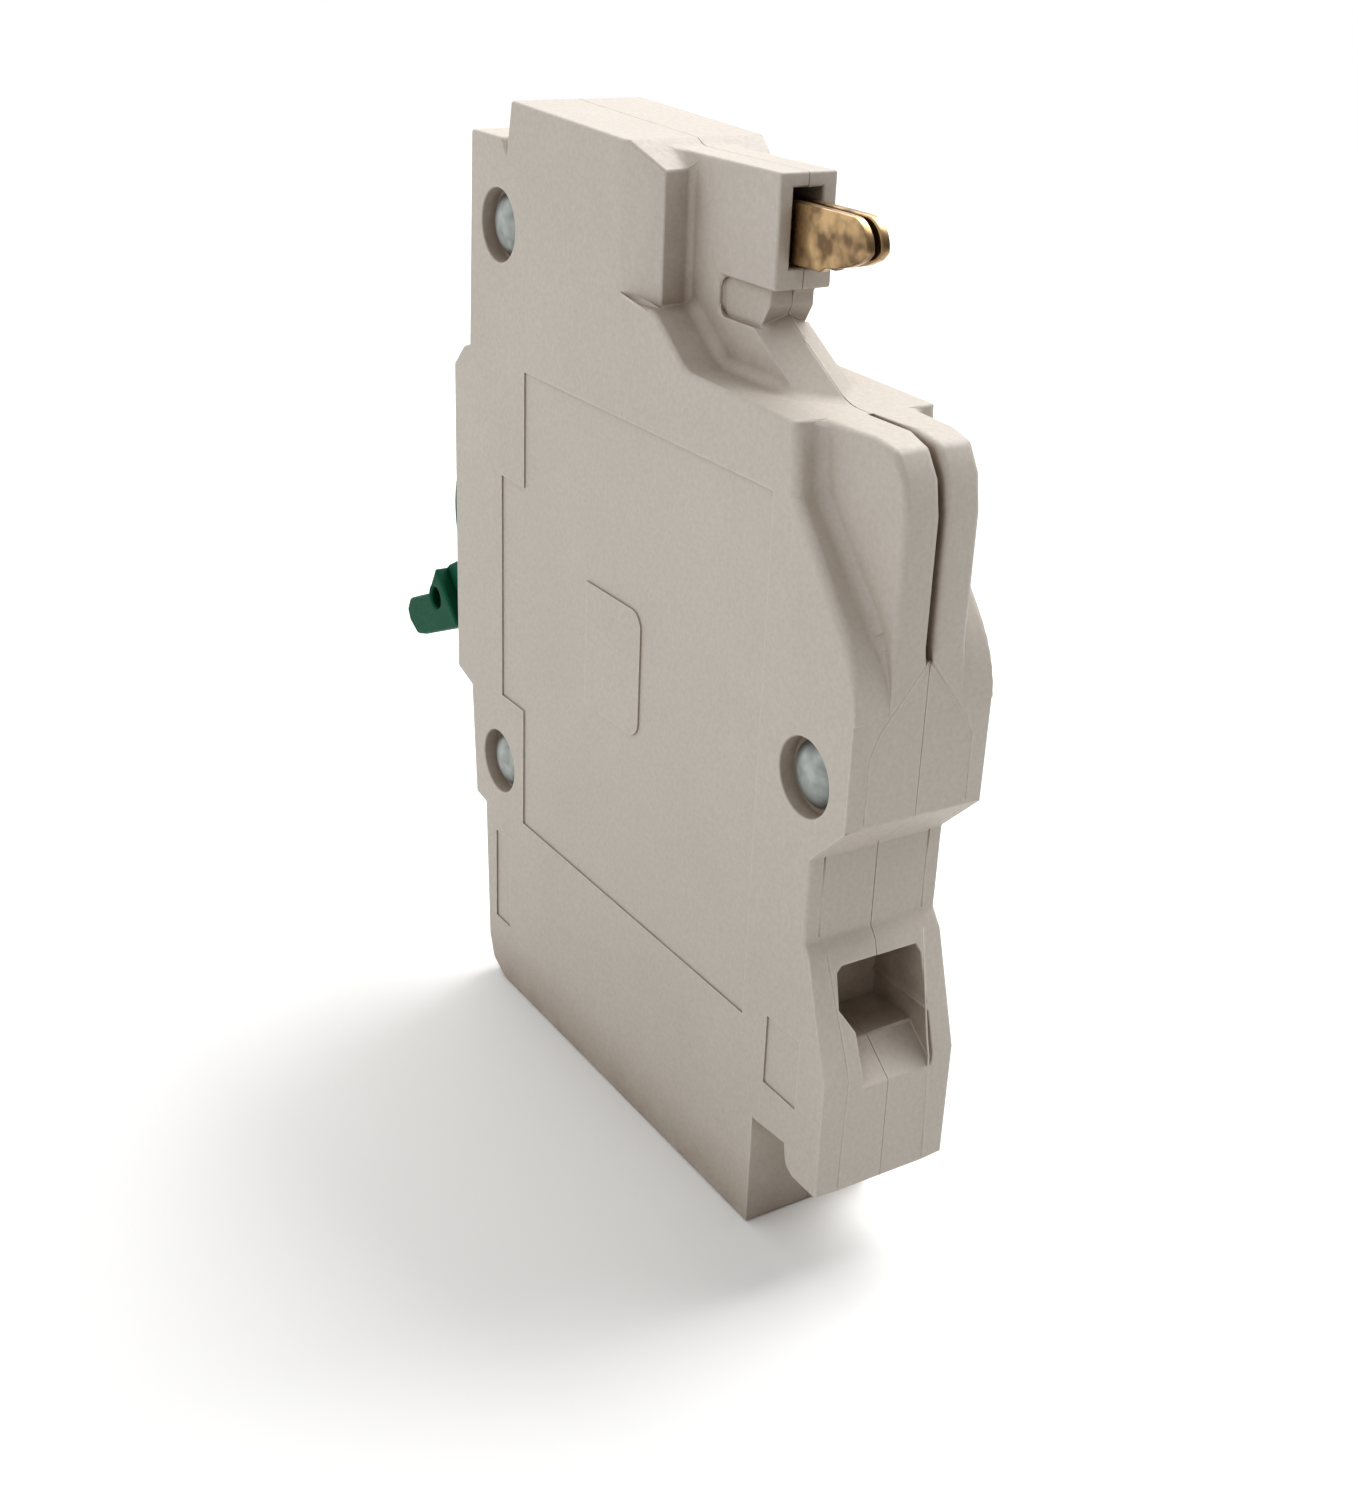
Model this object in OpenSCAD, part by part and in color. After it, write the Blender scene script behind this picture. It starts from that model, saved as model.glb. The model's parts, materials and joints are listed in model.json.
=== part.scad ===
// Half-inch plug-on circuit breaker with a toggle handle, standing on its load end.
// X runs from the handle (front, -X) to the stab (back, +X), Y is the thickness with the
// parting plane of the case at Y = 0, and Z runs from the load end to the line end.
// The origin is the middle of the case's depth, on the load end.

/* [Case] */
// Height of the case, load end to line end
body_h = 84.8; // [80:0.1:102]
// Depth of the case, nose to back
body_d = 63.2; // [60:0.1:76]
// Thickness of the case, both halves together
body_t = 12.5; // [11.5:0.1:15]
// Wall of the broad faces
side_wall = 1.6; // [1.2:0.1:2]
// Wall of the edges
rim_wall = 1.8; // [1.4:0.1:2.2]
// Height of the foot below the back leg
foot_drop = 8.5; // [7:0.1:10]
// Width of the rail notch between foot and leg
notch_w = 4.3; // [4.2:0.1:5]
// Thickness of the thin neck that ends in the stab block
neck_t = 5.0; // [4.6:0.1:6]
// Thickness of the rear fin
fin_t = 6.5; // [6:0.1:7.5]

/* [Rivets] */
// Radius of a rivet's counterbore
counterbore_r = 3.1; // [2.9:0.1:3.4]
// Depth of a rivet's counterbore
counterbore_depth = 1.5; // [1.2:0.1:1.8]
// Radius of a rivet's shank
rivet_r = 1.5; // [1.2:0.1:1.7]

/* [Handle] */
// Radius of the handle's round hub
hub_r = 9.9; // [9:0.1:10.5]
// Thickness of the handle
handle_t = 6.0; // [5.4:0.1:6.4]
// Angle of the lever below the horizontal when the breaker is off
lever_drop = 36; // [33:1:38]
// Travel of the handle from off to on
handle_travel = 72; // [66:1:76]
// Radius of the handle-tie hole
tie_hole_r = 1.1; // [0.9:0.1:1.3]
// Radius of the handle's pivot pin
handle_pin_r = 1.5; // [1.2:0.1:1.8]

/* [Contacts] */
// Distance from the handle's pivot to the blade's pivot
blade_pivot_d = 7.5; // [7:0.1:8]
// Swing of the blade from open to closed
blade_swing = 29; // [24:1:30]
// Thickness of the blade
blade_t = 2.0; // [1.6:0.1:2.2]
// Radius of a contact button
contact_r = 1.9; // [1.6:0.1:2.2]
// Thickness of one stab leaf
stab_leaf_t = 0.8; // [0.6:0.05:0.9]
// Gap between the two stab leaves
stab_gap = 0.5; // [0.4:0.05:0.7]
// Height of the stab
stab_h = 4.4; // [3.8:0.1:4.8]
// Length of stab outside the block
stab_out = 8.7; // [7:0.1:10]

/* [Terminal] */
// Radius of the terminal screw's thread
screw_r = 2.0; // [1.6:0.1:2.2]
// Radius of the terminal screw's head
screw_head_r = 3.0; // [2.6:0.1:3.2]
// Gap for the wire under the clamp plate when open
wire_gap = 4.4; // [4.3:0.1:5]
// Thickness of the copper straps
strap_t = 1.2; // [1:0.1:1.5]

/* [Hidden] */
$fn = 48;

// Named clearances
run_gap = 0.05;          // radial clearance of a pin that turns in a hole
side_gap = 0.3;          // clearance beside a moving piece
weld = 0.01;             // length by which a cut runs past a face it opens

// Faces of the case
back_x = body_d / 2;
front_x = -body_d / 2;
half_t = body_t / 2;
cavity_y = half_t - side_wall;
neck_y = neck_t / 2;
fin_y = fin_t / 2;

back_bevel = 0.15;       // how far the strips beside the back faces fall away
recess_depth = 0.5;
panel_depth = 0.15;      // depth of the moulded panel in the broad face
pin_inset = 0.9;         // from the broad face to the blind end of a pin's bore

// Main levels of the case
nose_low = 30.5;
nose_high = 60.6;
ledge_z = 40.6;          // underside of the block behind the lower back rivet
fin_arc_z = 48.9;        // where the rounded edge beside the fin starts
fin_arc_r = 10;
fin_lean = 4.8;
fin_split_z = 52.7;      // lower end of the gap between the fin's halves
shoulder_z = body_h - 16.5;
block_low = body_h - 9.6;
block_top = body_h - 1.3;
top_step = 3.1;          // drop from the case top to the front lip

// Window at the back, as Y and Z from the parting plane outwards
sill_z = 20.1;
window_low = 17.6;
window_top = 27.4;
left_window = [[0, window_low], [-2.4, window_low], [-2.7, 22.2], [-4.0, 24.2], [-3.8, 27.0],
               [-3.3, window_top], [0, window_top]];
right_window = [[0, window_low], [-4.3, window_low], [-4.3, 22.0], [-3.9, 22.4], [-4.2, 22.8],
                [-4.2, 26.6], [-3.8, window_top], [0, window_top]];

// Rivet centres
rivets = [
    [front_x + 9.0, body_h - 10.4],
    [front_x + 8.9, 23.8],
    [back_x - 5.5, 42.8]
];
rivet_boss_r = counterbore_r + 1.1;

// Handle and blade
hub_x = front_x + 2.7;
hub_z = 44.6;
handle_y = handle_t / 2;
blade_y = blade_t / 2;
pivot_x = hub_x + blade_pivot_d * cos(lever_drop);
pivot_z = hub_z + blade_pivot_d * sin(lever_drop);
closed_pivot_x = hub_x + blade_pivot_d * cos(handle_travel - lever_drop);
closed_pivot_z = hub_z - blade_pivot_d * sin(handle_travel - lever_drop);
arm_pin_r = 0.9;
slot_root = 3.2;         // radius at which the hub's slot for the blade starts

// Contacts, in the closed position
button_h = 1.0;
contact_x = front_x + 38.7;
contact_z = hub_z + 15;      // face of the moving button
contact_gap = 0.15;
pad_x = contact_x - closed_pivot_x;
pad_z = contact_z - button_h - closed_pivot_z;

// Line side
strap_x = front_x + 27.2;
strap_y = 2.4;
stab_y = stab_gap / 2 + stab_leaf_t;
stab_low = block_low + 1.9;
stab_start_x = strap_x + strap_t;
block_back_x = back_x - 18;
slot_y = stab_y + 0.2;

// Trip unit
cradle_x = strap_x - 8;
cradle_z = 34;
cradle_plate_t = 0.9;
cradle_plate_y = cavity_y - side_gap - cradle_plate_t;
cradle_pin_r = 1.2;
post_r = 0.5;
spring_x = cradle_x + 5;
spring_low_z = cradle_z + 2.3;
coil_wire_r = 0.25;
coil_r = (cradle_plate_y - blade_y - 0.25) / 2 - coil_wire_r;
spring_y = cradle_plate_y - 0.1 - coil_r - coil_wire_r;
armature_x = back_x - 26.6;
armature_t = 1.0;
armature_foot_z = 22;
armature_top_z = 38.6;
armature_y = cradle_plate_y - run_gap;
armature_pin_r = 0.7;
latch_gap = 0.8;
latch_overlap = 0.2;
bimetal_x = back_x - 20.8;
bimetal_t = 0.8;
bimetal_y = 2.5;
bimetal_top = 45;
strap_z = 16.8;
pad_y = cavity_y - 0.65;  // half the width of the load strap
yoke_low = 25.5;
yoke_high = 32.5;

// Terminal
pad_plate_x = front_x + 19.8;
screw_z = 11;
plate_x = pad_plate_x - wire_gap - strap_t;
head_h = 2.4;
rib_y = screw_r + 0.5;   // half the gap between the ribs, which the screw passes

function back(d) = back_x - d;
function front(d) = front_x + d;
function top(d) = body_h - d;

// Points of an arc about a centre, in the X-Z plane
function arc(x, z, r, from, to, steps) =
    [for (i = [0:steps]) let (a = from + (to - from) * i / steps) [x + r * cos(a), z + r * sin(a)]];

// Outline of the full-thickness part of the case
case_outline = concat([
    [back(4.8 + notch_w), 0],
    [back(4.8 + notch_w), foot_drop + 1.9],
    [back(4.8), foot_drop + 2.3],
    [back(4.6), foot_drop + 1.2],
    [back(4.2), foot_drop + 0.4],
    [back(3.4), foot_drop],
    [back(0), foot_drop],
    [back(0.1), 18.7],
    [back(3.2), 28.7],
    [back(3.9), 29.6],
    [back(3.9), 36.8],
    [back(0), ledge_z]
], arc(back(fin_arc_r), fin_arc_z, fin_arc_r, 0, 38.4, 6), [
    [back(8.6), 63.1],
    [back(9.2), shoulder_z],
    [back(23.7), shoulder_z + 0.3],
    [back(28.0), top(13.0)],
    [back(29.3), top(12.6)],
    [back(29.3), top(2.6)],
    [back(32.9), top(0.8)],
    [front(11.4), top(0)],
    [front(10.5), top(4.3)],
    [front(9.6), top(top_step)],
    [front(4.0), top(top_step)],
    [front(3.2), nose_high + 2.4],
    [front(2.0), nose_high + 2.0],
    [front(0), nose_high],
    [front(0), nose_low],
    [front(3.0), nose_low - 0.9],
    [front(3.9), 18.4],
    [front(5.9), 18.1],
    [front(6.6), 3.6],
    [front(7.5), 1.2],
    [front(9.9), 0]
]);

// Thin neck between the case and the stab block
neck_outline = [
    [back(36), block_top],
    [back(36), shoulder_z - 2],
    [back(11.4), shoulder_z - 2],
    [back(11.4), shoulder_z],
    [back(12.0), shoulder_z + 0.4],
    [back(17.3), shoulder_z + 3.45],
    [back(18.6), shoulder_z + 4.4],
    [back(19.2), shoulder_z + 5.4],
    [back(19.2), block_low],
    [block_back_x, block_low],
    [block_back_x, block_top]
];

// Rear fin
fin_outline = [
    [back(12), fin_arc_z - 1],
    [back(0), fin_arc_z - 1],
    [back(0), top(21.5)],
    [back(0.5), top(18.9)],
    [back(1.8), top(16.9)],
    [back(4.0), top(16.5)],
    [back(12), top(16.5)]
];

// Hollow inside the full-thickness part
cavity_outline = [
    [back(4.8 + notch_w + rim_wall), rim_wall],
    [back(4.8 + notch_w + rim_wall), foot_drop + 3.9],
    [back(9.6), foot_drop + 4.2],
    [back(9.6), 38.2],
    [back(5.6), 38.6],
    [back(rim_wall), ledge_z + 1.7],
    [back(rim_wall), fin_arc_z + 1.3],
    [back(8.6 + rim_wall), 61.4],
    [back(9.2 + rim_wall), shoulder_z - rim_wall],
    [back(24.3), shoulder_z - rim_wall + 0.3],
    [back(28.6), top(13.0 + rim_wall)],
    [back(29.3 + rim_wall), top(12.6 + rim_wall)],
    [back(29.3 + rim_wall), top(2.9)],
    [back(33.2), top(2.6)],
    [front(13.2), top(rim_wall)],
    [front(12.2), top(5.9)],
    [front(5.8), top(top_step + rim_wall)],
    [front(5.0), nose_high + 3.4],
    [front(rim_wall), nose_high - 1.2],
    [front(rim_wall), nose_low + 1.7],
    [front(4.8), nose_low + 0.3],
    [front(5.7), 19.9],
    [front(7.7), 19.6],
    [front(8.4), 4.5],
    [front(10.6), rim_wall]
];

// Lever outline along its own length, from the hub's centre
lever_outline = [
    [7.5, -1.0], [10.4, -1.1], [16.3, -1.9], [19.9, -0.2], [25.2, -1.4],
    [26.6, -0.7], [26.8, 0.6], [25.8, 2.5], [24.0, 3.1], [15.1, 5.0], [8.0, 5.8]
];

// Extrudes an outline drawn in X and Z between two levels of Y
module slab(y_low, y_high) {
    translate([0, y_high, 0])
        rotate([90, 0, 0])
            linear_extrude(y_high - y_low)
                children();
}

// A round bar along Y
module cross_bar(x, z, r, y_low, y_high) {
    slab(y_low, y_high)
        translate([x, z])
            circle(r);
}

// A block given by its lower and upper corners
module block(low, high) {
    translate(low)
        cube(high - low);
}

// Sunk panel of the broad face, with the D-shaped pad left standing in it
module face_panel() {
    difference() {
        union() {
            translate([front(13.9), 19.3]) square([body_d - 25.3, 43.5]);
            translate([front(9.6), 31]) square([4.4, 21.5]);
        }
        translate([front(25.3), 36.3]) {
            square([7.5, 11.2]);
            translate([7.4, 1.5]) square([1.6, 8.2]);
            for (z = [1.5, 9.7])
                translate([7.5, z]) circle(1.5);
        }
    }
    translate([back(8.0), 14.8]) square([4.4, 6.2]);
    translate([front(8.3), 6.5]) square([2.9, 9.6]);
}

// Outer form of the left half, from the parting plane outwards to -Y
module half_outside() {
    difference() {
        union() {
            slab(-half_t, 0) polygon(case_outline);
            difference() {
                slab(-neck_y, 0) polygon(neck_outline);
                // tilted face from the neck's ridge out to the parting line
                translate([back(14.1), -neck_y, shoulder_z + 0.1])
                    rotate([27, 31, 0])
                        translate([-7.2, -0.5, 0])
                            cube([19, 5, 2]);
            }
            difference() {
                slab(-fin_y - 1, 0) polygon(fin_outline);
                // the fin's side leans out from its back edge to its root
                translate([back(0), -fin_y, fin_arc_z - 2])
                    rotate([0, 0, fin_lean])
                        translate([-14, -3, 0])
                            cube([16, 3, body_h]);
            }
        }
        // facet that slopes from the broad face to the neck's step
        translate([back(33.5), -half_t, top(12.7)])
            rotate([0, 0, 16.6])
                translate([0, -4, 0])
                    cube([12, 4, 20]);
        // strips that fall away beside the back faces of the leg and of the rivet block
        for (strip = [[foot_drop - 1, 18.7, 2.0], [ledge_z, fin_arc_z, 1.55]])
            translate([0, 0, strip[0]])
                linear_extrude(strip[1] - strip[0])
                    polygon([[back(0), -half_t + strip[2]], [back(back_bevel), -half_t],
                             [back(-1), -half_t]]);
        // shallow recess under the stab block
        block([back(25.2), -neck_y - 1, top(12.6)], [back(19), -neck_y + recess_depth, block_low]);
        slab(-half_t - weld, -half_t + panel_depth) face_panel();
    }
}

// Everything cut out of one half, drawn on the left side
module half_cuts(window_outline) {
    slab(-cavity_y, weld) polygon(cavity_outline);
    // slot in the nose for the hub and the lever
    block([front(-1), -handle_y - side_gap, hub_z - hub_r - 0.8],
          [front(rim_wall + 1), weld, hub_z + hub_r + 0.8]);
    // slot in the neck for the stab
    block([stab_start_x + 1.2, -slot_y, stab_low - side_gap],
          [back(17), weld, stab_low + stab_h + 0.9]);
    // window at the back of the load chamber, over a sloping sill
    difference() {
        translate([back(8), 0, 0])
            rotate([90, 0, 90])
                linear_extrude(9)
                    polygon(window_outline);
        slab(-half_t, 0)
            polygon([[back(9), window_low - 1], [back(9), sill_z], [back(3.2), sill_z],
                     [back(0), window_low], [back(-2), window_low - 1]]);
    }
    // vent between the window and the hollow
    block([back(10), -3.8, window_top - 2.2], [back(7.9), weld, window_top]);
    // wire port in the load end
    block([plate_x + strap_t - 0.3, -3.95, -1], [pad_plate_x + 0.2, weld, rim_wall + weld]);
    // driver's way to the terminal screw
    translate([front(4), 0, screw_z])
        rotate([0, 90, 0])
            cylinder(r = screw_head_r + side_gap, h = 6);
    // gap along the fin where the halves stand apart
    block([back(9), -0.25, fin_split_z], [back(-1), weld, shoulder_z + 2]);
}

// Ribs and bosses that carry the pieces inside one half, drawn on the left side
module half_supports(cradle_boss_y) {
    for (p = rivets)
        cross_bar(p[0], p[1], rivet_boss_r, -cavity_y, 0);
    difference() {
        cross_bar(hub_x, hub_z, handle_pin_r + 1.6, -cavity_y, -handle_y - side_gap);
        block([front(-4), -half_t, hub_z - 9], [front(rim_wall), 0, hub_z + 9]);
    }
    cross_bar(armature_x + armature_t / 2, armature_foot_z, armature_pin_r + 1.2,
              -cavity_y, -armature_y - side_gap);
    cross_bar(cradle_x, cradle_z, cradle_pin_r + 1.4, -cavity_y, -cradle_boss_y);
    // ribs that hold the line strap
    block([strap_x - 2.5, -cavity_y, top(14)], [strap_x, -1, top(10)]);
    block([strap_x + strap_t, -cavity_y, top(16)], [strap_x + strap_t + 1.6, -1, top(12)]);
    // ribs under and over the load strap
    block([pad_plate_x + 4, -cavity_y, rim_wall - weld], [pad_plate_x + 6, -rib_y, strap_z]);
    block([pad_plate_x + 4, -cavity_y, strap_z + strap_t], [pad_plate_x + 6, -rib_y, strap_z + 3.4]);
    block([back(24.5), -cavity_y, rim_wall - weld], [back(22.5), -rib_y, strap_z]);
    // rib behind the terminal pad
    block([pad_plate_x + strap_t, -cavity_y, rim_wall - weld], [pad_plate_x + 2.6, -2.4, 8]);
}

// Bores of the pins and rivets
module half_bores() {
    for (p = rivets) {
        cross_bar(p[0], p[1], counterbore_r, -half_t - 1, -half_t + counterbore_depth);
        cross_bar(p[0], p[1], rivet_r, -half_t - 1, 1);
    }
    cross_bar(hub_x, hub_z, handle_pin_r, -half_t + pin_inset, 1);
    cross_bar(cradle_x, cradle_z, cradle_pin_r, -half_t + pin_inset, 1);
    cross_bar(armature_x + armature_t / 2, armature_foot_z, armature_pin_r, -half_t + pin_inset, 1);
}

module half_case(window_outline, cradle_boss_y) {
    difference() {
        union() {
            difference() {
                half_outside();
                half_cuts(window_outline);
            }
            half_supports(cradle_boss_y);
        }
        half_bores();
    }
}

module case_left() {
    color([0.73, 0.69, 0.65])
        half_case(left_window, 2);
}

module case_right() {
    color([0.73, 0.69, 0.65])
        mirror([0, 1, 0])
            half_case(right_window, cavity_y - weld);
}

module case_rivets() {
    head_y = half_t - counterbore_depth;
    color([0.66, 0.70, 0.70])
        for (p = rivets) {
            cross_bar(p[0], p[1], rivet_r, -head_y, head_y);
            for (side = [-1, 1])
                translate([p[0], side * head_y, p[1]])
                    rotate([-90 * side, 0, 0])
                        rotate_extrude()
                            polygon([[0, 0], [2.6, 0], [2.6, 0.35], [2.3, 0.75],
                                     [1.6, 1.1], [0.8, 1.27], [0, 1.3]]);
        }
}

// The handle's own frame: origin at the hub, +X along the lever
module at_lever() {
    translate([hub_x, 0, hub_z])
        rotate([0, 180 - lever_drop, 0])
            children();
}

module handle() {
    color([0.07, 0.42, 0.28])
        difference() {
            union() {
                cross_bar(hub_x, hub_z, hub_r, -handle_y, handle_y);
                at_lever() slab(-handle_y, handle_y) polygon(lever_outline);
            }
            // slot between the cheeks, where the blade turns
            at_lever()
                block([-hub_r - 1, -blade_y - side_gap, -hub_r - 1],
                      [-slot_root, blade_y + side_gap, hub_r + 1]);
            cross_bar(hub_x, hub_z, handle_pin_r + run_gap, -half_t, half_t);
            cross_bar(pivot_x, pivot_z, arm_pin_r, -half_t, half_t);
            // handle-tie hole
            at_lever() cross_bar(18.7, 0.7, tie_hole_r, -half_t, half_t);
        }
}

module handle_pin() {
    color([0.75, 0.76, 0.78])
        cross_bar(hub_x, hub_z, handle_pin_r, -half_t + pin_inset, half_t - pin_inset);
}

// Places a shape drawn in the closed position, from the blade's pivot, at the open position
module at_blade() {
    translate([pivot_x, 0, pivot_z])
        rotate([0, blade_swing, 0])
            children();
}

module contact_arm() {
    color([0.80, 0.50, 0.32])
        at_blade()
            difference() {
                union() {
                    slab(-blade_y, blade_y)
                        union() {
                            circle(arm_pin_r + 1.2);
                            polygon([[-0.9, 1.8], [pad_x - 2.6, pad_z], [pad_x + contact_r + 0.2, pad_z],
                                     [pad_x + contact_r + 0.2, pad_z - 2.2], [pad_x - 2.0, pad_z - 2.2],
                                     [0.9, -1.9]]);
                        }
                    // pad that carries the button
                    block([pad_x - contact_r - 0.2, -contact_r - 0.2, pad_z - 1.2],
                          [pad_x + contact_r + 0.2, contact_r + 0.2, pad_z]);
                    // post for the toggle spring
                    translate([-pivot_x, 0, -pivot_z])
                        blade_post();
                }
                cross_bar(0, 0, arm_pin_r + run_gap, -half_t, half_t);
            }
}

// Post on the blade, straight above the cradle's post when the breaker is off
post_reach = spring_x - pivot_x;
post_tilt = atan2(pad_z, pad_x) - blade_swing;
post_z = pivot_z + post_reach * tan(post_tilt);
module blade_post() {
    translate([pivot_x, 0, pivot_z])
        rotate([0, -blade_swing, 0])
            translate([-pivot_x, 0, -pivot_z])
                cross_bar(spring_x, post_z, post_r, blade_y, spring_y + 1);
}

module arm_pin() {
    color([0.75, 0.76, 0.78])
        cross_bar(pivot_x, pivot_z, arm_pin_r, -handle_y, handle_y);
}

module moving_contact() {
    color([0.85, 0.86, 0.88])
        at_blade()
            translate([pad_x, 0, pad_z])
                cylinder(r = contact_r, h = button_h);
}

module fixed_contact() {
    color([0.85, 0.86, 0.88])
        translate([contact_x, 0, contact_z + contact_gap])
            cylinder(r = contact_r, h = button_h);
}

// One bullet-nosed leaf of the stab: a long curve down from the top edge, and a nick in the
// bottom edge where the nose starts
module stab_leaf() {
    slab(0, stab_leaf_t)
        translate([block_back_x + stab_out, stab_low])
            polygon(concat([[-5.4, 0], [-4.9, 0.35], [-3.4, 0.6], [-1.9, 1.0], [-0.8, 1.5], [-0.2, 2.1]],
                           arc(-2.4, stab_h - 2.2, 2.2, 10, 80, 7),
                           [[-3.0, stab_h], [stab_start_x - block_back_x - stab_out, stab_h],
                            [stab_start_x - block_back_x - stab_out, 0]]));
}

module line_stab() {
    color([0.72, 0.55, 0.30]) {
        translate([0, stab_gap / 2, 0]) stab_leaf();
        mirror([0, 1, 0]) translate([0, stab_gap / 2, 0]) stab_leaf();
        block([stab_start_x, -stab_gap / 2, stab_low], [stab_start_x + 1, stab_gap / 2, stab_low + stab_h]);
    }
}

module line_strap() {
    seat_z = contact_z + contact_gap + button_h;
    color([0.80, 0.50, 0.32]) {
        block([strap_x, -strap_y, seat_z], [strap_x + strap_t, strap_y, stab_low + stab_h]);
        block([strap_x, -strap_y, seat_z], [contact_x + contact_r + 0.4, strap_y, seat_z + strap_t]);
    }
}

arc_count = 5;
arc_pitch = 2.6;
arc_low_z = contact_z - 9.8;
arc_x = contact_x + 9.2;
module arc_plates() {
    color([0.45, 0.46, 0.48])
        for (i = [0:arc_count - 1])
            block([arc_x, -cavity_y + 0.8, arc_low_z + i * arc_pitch],
                  [arc_x + 4.4, cavity_y - 0.8, arc_low_z + i * arc_pitch + 0.9]);
}

module arc_liners() {
    color([0.62, 0.30, 0.20])
        for (side = [-1, 1])
            block([arc_x - 0.3, side > 0 ? cavity_y - 0.8 : -cavity_y, arc_low_z - 0.8],
                  [arc_x + 4.7, side > 0 ? cavity_y : -cavity_y + 0.8, arc_low_z + arc_count * arc_pitch]);
}

module cradle() {
    tip_x = armature_x + latch_overlap;
    tip_z = armature_top_z + latch_gap;
    color([0.62, 0.64, 0.66])
        difference() {
            union() {
                slab(cradle_plate_y, cradle_plate_y + cradle_plate_t)
                    polygon([[cradle_x - 0.6, cradle_z + 2.2], [spring_x, spring_low_z + 1.8],
                             [tip_x - 1.6, tip_z + 1.7], [tip_x, tip_z + 0.4], [tip_x, tip_z], [tip_x - 2.2, tip_z - 0.7],
                             [spring_x + 1, spring_low_z - 1.9], [cradle_x + 0.6, cradle_z - 2.3]]);
                cross_bar(cradle_x, cradle_z, cradle_pin_r + 1.4, -2 + side_gap, cradle_plate_y + cradle_plate_t);
                cross_bar(spring_x, spring_low_z, post_r, spring_y - 1, cradle_plate_y + cradle_plate_t);
            }
            cross_bar(cradle_x, cradle_z, cradle_pin_r + run_gap, -half_t, half_t);
        }
}

module cradle_pin() {
    color([0.75, 0.76, 0.78])
        cross_bar(cradle_x, cradle_z, cradle_pin_r, -half_t + pin_inset, half_t - pin_inset);
}

// A coil along Z whose end rings pass round posts
module coil(low, high, turns) {
    translate([0, 0, low])
        linear_extrude(high - low, twist = -360 * turns, slices = turns * 12, segments = 8)
            translate([coil_r, 0])
                circle(coil_wire_r, $fn = 8);
}

module toggle_spring() {
    loop_r = post_r + coil_wire_r + 0.2;
    color([0.78, 0.79, 0.80])
        translate([spring_x, spring_y, 0]) {
            coil(spring_low_z + loop_r, post_z - loop_r, 9);
            for (z = [spring_low_z, post_z])
                translate([0, 0, z])
                    rotate([90, 0, 0])
                        rotate_extrude()
                            translate([loop_r, 0])
                                circle(coil_wire_r);
        }
}

module bimetal() {
    color([0.70, 0.66, 0.58]) {
        block([bimetal_x, -bimetal_y, strap_z + 0.7], [bimetal_x + bimetal_t, bimetal_y, bimetal_top]);
        // hook that reaches over the armature and pulls it
        block([armature_x - 1.2, -3.0, 41], [bimetal_x, -1.6, 42.2]);
        block([armature_x - 1.2, -3.0, 36], [armature_x - side_gap, -1.6, 41]);
    }
}

module magnet_yoke() {
    x = bimetal_x + bimetal_t;
    color([0.50, 0.51, 0.53]) {
        block([x, -pad_y, yoke_low], [x + 1.2, pad_y, yoke_high]);
        for (side = [-1, 1])
            block([x - 3.2, side > 0 ? 3 : -pad_y, yoke_low], [x, side > 0 ? pad_y : -3, yoke_high]);
    }
}

module armature() {
    color([0.62, 0.64, 0.66])
        difference() {
            union() {
                block([armature_x, -armature_y, armature_foot_z],
                      [armature_x + armature_t, armature_y, armature_top_z]);
                // ledge under the cradle's tip
                block([armature_x, armature_y, armature_top_z - 5],
                      [armature_x + armature_t, cradle_plate_y + cradle_plate_t, armature_top_z]);
                cross_bar(armature_x + armature_t / 2, armature_foot_z, armature_pin_r + 0.6,
                          -armature_y, armature_y);
            }
            cross_bar(armature_x + armature_t / 2, armature_foot_z, armature_pin_r + run_gap,
                      -half_t, half_t);
        }
}

module armature_pin() {
    color([0.75, 0.76, 0.78])
        cross_bar(armature_x + armature_t / 2, armature_foot_z, armature_pin_r,
                  -half_t + pin_inset, half_t - pin_inset);
}

module armature_spring() {
    free_x = armature_x + armature_t + side_gap;
    color([0.78, 0.79, 0.80])
        translate([free_x, 0, 35.4])
            rotate([0, 90, 0])
                coil(0, bimetal_x - free_x, 4);
}

// Flexible shunt from the bimetal's free end to the side of the blade
braid_r = 0.9;
braid_y = -blade_y - braid_r;
braid_path = [
    [bimetal_x - 1.2, bimetal_top - 1.0],
    [bimetal_x - 4.5, bimetal_top - 1.2],
    [bimetal_x - 8.5, bimetal_top - 0.2],
    [bimetal_x - 12.0, bimetal_top + 2.2],
    [bimetal_x - 15.0, pivot_z + (bimetal_x - 15.0 - pivot_x) * tan(post_tilt)]
];
module braid() {
    color([0.82, 0.52, 0.34])
        for (i = [0:len(braid_path) - 2])
            hull()
                for (p = [braid_path[i], braid_path[i + 1]])
                    translate([p[0], braid_y, p[1]])
                        sphere(braid_r, $fn = 16);
}

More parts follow.
